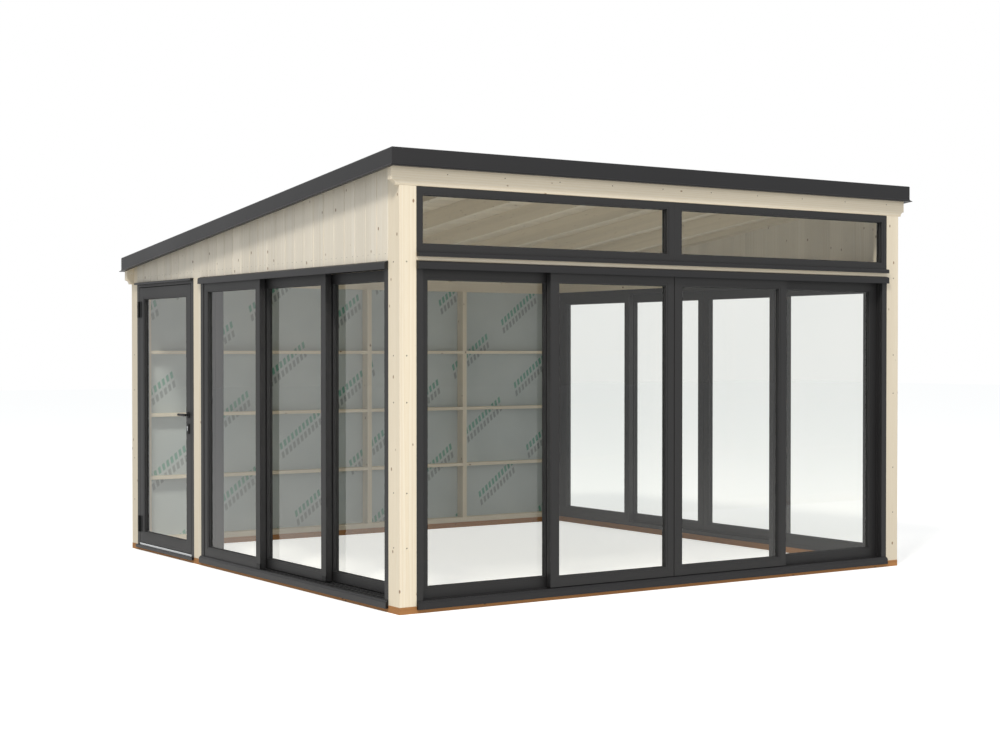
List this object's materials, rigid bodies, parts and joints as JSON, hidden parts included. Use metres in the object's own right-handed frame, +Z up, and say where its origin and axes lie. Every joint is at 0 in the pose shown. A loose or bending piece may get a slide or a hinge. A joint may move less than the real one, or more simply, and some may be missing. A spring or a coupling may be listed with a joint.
{
  "type": "summerhouse",
  "caption": "Timber summerhouse with a mono-pitch roof, sliding glass doors on its front and sides, a hinged glass side door and a window band under the front eaves.",
  "frame": {"origin": "centre of the building's outline, at ground level under the soles", "axes": "+Z up, +X to the right along the front wall, +Y from the front wall to the rear wall"},
  "size_m": [4.564, 4.454, 2.8768],
  "materials": {
    "impregnated_pine": "brown pressure-impregnated pine, sawn",
    "planed_spruce": "planed untreated spruce with small knots",
    "spruce_cladding": "untreated spruce tongue-and-groove boards",
    "wind_membrane": "thin spun wind membrane",
    "roofing_felt": "dark granulated roofing felt",
    "coated_steel": "folded sheet steel with dark grey coating",
    "coated_aluminium": "aluminium profile with fine matt dark grey powder coat",
    "bare_aluminium": "mill-finish aluminium",
    "black_fittings": "black coated metal",
    "clear_glass": "clear toughened glass"
  },
  "bodies": {
    "building": {"soles_across": "impregnated_pine", "soles_along": "impregnated_pine", "corner_posts": "planed_spruce", "left_mid_post": "planed_spruce", "front_beam": "planed_spruce", "rear_beam": "planed_spruce", "side_head_beams": "planed_spruce", "front_transom": "planed_spruce", "rear_rails": "planed_spruce", "rear_studs": "planed_spruce", "rear_membrane": "wind_membrane", "rear_cladding": "spruce_cladding", "gable_cladding": "spruce_cladding", "gable_plates": "planed_spruce", "rafters": "planed_spruce", "roof_deck": "spruce_cladding", "roof_cover": "roofing_felt", "end_fascias": "coated_steel", "side_fascias": "coated_steel", "upper_window_frame": "coated_aluminium", "fixed_glass": "clear_glass", "front_door_frame": "coated_aluminium", "front_fixed_sashes": "coated_aluminium", "left_door_frame": "coated_aluminium", "left_fixed_sash": "coated_aluminium", "right_door_frame": "coated_aluminium", "right_fixed_sashes": "coated_aluminium", "head_flashings": "coated_steel", "sill_flashings": "coated_steel", "side_door_frame": "coated_aluminium", "side_door_threshold": "bare_aluminium", "hinge_jamb_halves": "black_fittings"},
    "front_left_leaf": {"front_sash_left": "coated_aluminium", "front_sash_left_glass": "clear_glass"},
    "front_right_leaf": {"front_sash_right": "coated_aluminium", "front_sash_right_glass": "clear_glass"},
    "left_middle_leaf": {"left_sash_middle": "coated_aluminium", "left_sash_middle_glass": "clear_glass"},
    "left_front_leaf": {"left_sash_front": "coated_aluminium", "left_sash_front_glass": "clear_glass"},
    "right_front_leaf": {"right_sash_front": "coated_aluminium", "right_sash_front_glass": "clear_glass"},
    "right_rear_leaf": {"right_sash_rear": "coated_aluminium", "right_sash_rear_glass": "clear_glass"},
    "side_leaf": {"side_door_leaf": "coated_aluminium", "side_door_glass": "clear_glass", "hinge_leaf_halves": "black_fittings", "side_door_lock": "black_fittings"},
    "lever": {"side_door_lever": "black_fittings"}
  },
  "joints": [
    {"name": "front_left_slide", "type": "slide", "parent": "building", "child": "front_left_leaf", "axis": [-1, 0, 0], "range_m": [0, 0.965]},
    {"name": "front_right_slide", "type": "slide", "parent": "building", "child": "front_right_leaf", "axis": [1, 0, 0], "range_m": [0, 0.965]},
    {"name": "left_middle_slide", "type": "slide", "parent": "building", "child": "left_middle_leaf", "axis": [0, 1, 0], "range_m": [0, 0.879]},
    {"name": "left_front_slide", "type": "slide", "parent": "building", "child": "left_front_leaf", "axis": [0, 1, 0], "range_m": [0, 1.763]},
    {"name": "right_front_slide", "type": "slide", "parent": "building", "child": "right_front_leaf", "axis": [0, -1, 0], "range_m": [0, 0.955]},
    {"name": "right_rear_slide", "type": "slide", "parent": "building", "child": "right_rear_leaf", "axis": [0, 1, 0], "range_m": [0, 0.955]},
    {"name": "side_door_hinge", "type": "hinge", "parent": "building", "child": "side_leaf", "pos_m": [-2.2, 2.0125, 1.1], "axis": [0, 0, -1], "range_deg": [0, 105]},
    {"name": "lever_hinge", "type": "hinge", "parent": "side_leaf", "child": "lever", "pos_m": [-2.19, 1.031, 1.137], "axis": [-1, 0, 0], "range_deg": [0, 40], "stiffness_Nm_per_rad": 2, "springref_deg": -20.05}
  ]
}
